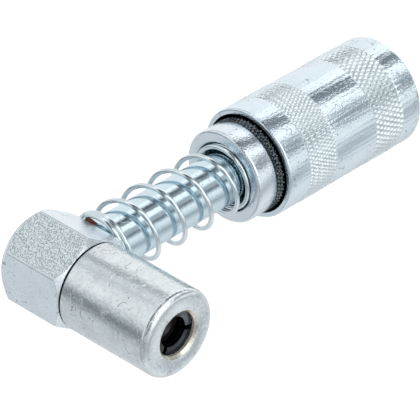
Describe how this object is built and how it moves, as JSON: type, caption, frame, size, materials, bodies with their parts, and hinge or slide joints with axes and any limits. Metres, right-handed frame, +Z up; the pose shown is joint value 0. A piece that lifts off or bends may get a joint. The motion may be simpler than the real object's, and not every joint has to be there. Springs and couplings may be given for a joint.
{
  "type": "grease coupler",
  "caption": "Right-angle grease coupler: jawed nose on a hexagon elbow, plain stem with a spring, and a knurled sliding sleeve over the inlet nipple.",
  "frame": {"origin": "centre of the nose mouth's bore, where its chamfer ends", "axes": "-Y out of the nose's mouth, +X along the stem towards the gun's end of the sleeve, +Z up; the stem's axis is 26.7 mm behind the origin"},
  "size_m": [0.0869, 0.0376, 0.0206],
  "materials": {
    "zinc_bright": "bright zinc plate, slightly blue",
    "zinc_rough": "zinc plate over a grained bar",
    "zinc_burnished": "zinc plate, burnished and a little warm",
    "spring_steel": "zinc-plated spring wire",
    "black_steel": "hardened and blackened",
    "plain_steel": "plain turned steel",
    "black_rubber": "oil-resistant rubber",
    "red_sealant": "cured thread sealant"
  },
  "bodies": {
    "elbow": {"elbow_body": "zinc_rough", "nose_cap": "zinc_burnished", "stem": "zinc_bright", "thread_sealant": "red_sealant", "stop_washer": "plain_steel", "stem_circlip": "black_steel", "grease_nipple": "zinc_bright", "jaw_spring": "spring_steel", "check_spring": "spring_steel", "nipple_spring": "spring_steel"},
    "spring": {"main_spring": "spring_steel"},
    "sleeve": {"sleeve": "zinc_bright", "collar": "zinc_bright"},
    "piston": {"seal_piston": "plain_steel", "nose_seal": "black_rubber", "piston_o_ring": "black_rubber"},
    "check_ball": {"check_ball": "plain_steel"},
    "nipple_ball": {"nipple_ball": "plain_steel"},
    "jaw_1": {"jaw_1": "black_steel"},
    "jaw_2": {"jaw_2": "black_steel"},
    "jaw_3": {"jaw_3": "black_steel"}
  },
  "joints": [
    {"name": "sleeve_spin", "type": "hinge", "parent": "elbow", "child": "spring", "pos_m": [0.03, 0.0267, 0], "axis": [1, 0, 0], "continuous": true},
    {"name": "sleeve_pull", "type": "slide", "parent": "spring", "child": "sleeve", "axis": [-1, 0, 0], "range_m": [0, 0.02], "stiffness_N_per_m": 650, "springref_m": -0.012, "deforming": ["main_spring"]},
    {"name": "piston_push", "type": "slide", "parent": "elbow", "child": "piston", "axis": [0, 1, 0], "range_m": [0, 0.0023], "stiffness_N_per_m": 4000, "springref_m": -0.003, "deforming": ["jaw_spring", "check_spring"]},
    {"name": "check_lift", "type": "slide", "parent": "elbow", "child": "check_ball", "axis": [0, -1, 0], "range_m": [0, 0.0005], "stiffness_N_per_m": 300, "springref_m": -0.002, "deforming": ["check_spring"]},
    {"name": "nipple_lift", "type": "slide", "parent": "elbow", "child": "nipple_ball", "axis": [-1, 0, 0], "range_m": [0, 0.0008], "stiffness_N_per_m": 300, "springref_m": -0.002, "deforming": ["nipple_spring"]},
    {"name": "jaw_1_slide", "type": "slide", "parent": "elbow", "child": "jaw_1", "axis": [0.117, 0.9397, -0.3214], "range_m": [0, 0.00245]},
    {"name": "jaw_2_slide", "type": "slide", "parent": "elbow", "child": "jaw_2", "axis": [0.2198, 0.9397, 0.262], "range_m": [0, 0.00245]},
    {"name": "jaw_3_slide", "type": "slide", "parent": "elbow", "child": "jaw_3", "axis": [-0.3368, 0.9397, 0.0594], "range_m": [0, 0.00245]}
  ],
  "couplings": [
    {"joint": "jaw_1_slide", "follows": "piston_push", "ratio": 1.0642},
    {"joint": "jaw_2_slide", "follows": "piston_push", "ratio": 1.0642},
    {"joint": "jaw_3_slide", "follows": "piston_push", "ratio": 1.0642}
  ]
}
